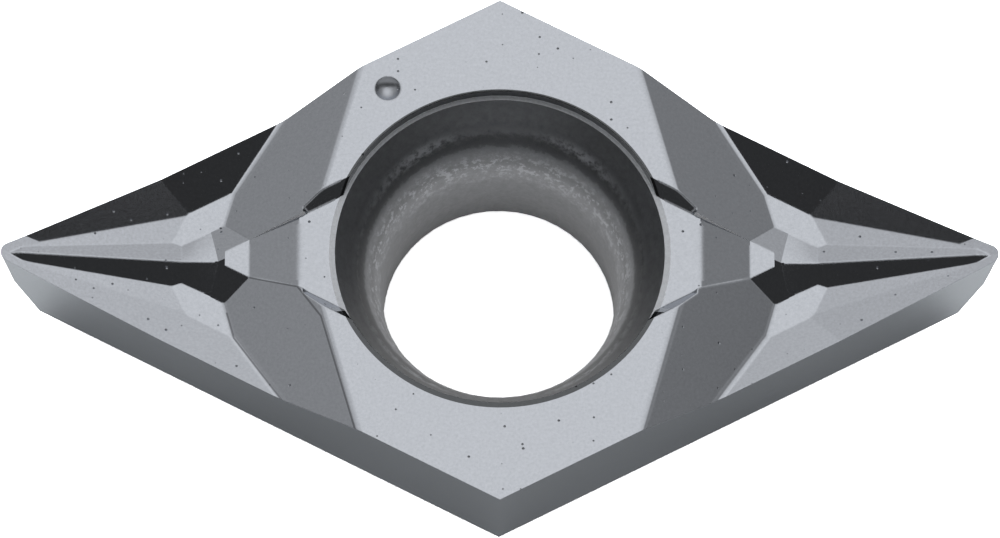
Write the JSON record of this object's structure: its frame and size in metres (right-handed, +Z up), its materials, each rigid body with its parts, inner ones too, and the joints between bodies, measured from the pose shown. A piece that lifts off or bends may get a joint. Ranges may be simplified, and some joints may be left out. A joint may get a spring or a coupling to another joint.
{
  "type": "turning insert",
  "caption": "Rhombic carbide turning insert with ground clearance flanks, pressed chipbreaker noses and a conical screw seat in its centre.",
  "frame": {"origin": "centre of the flat bottom face, on the axis of the screw hole", "axes": "+Z up out of the top face along the screw hole, +X along the long diagonal towards one nose, +Y along the short diagonal"},
  "size_m": [0.0202, 0.0108, 0.004],
  "materials": {
    "carbide": "uncoated cemented carbide: satin pressed top, finely ground flanks"
  },
  "bodies": {
    "root": {"insert": "carbide"}
  },
  "joints": []
}
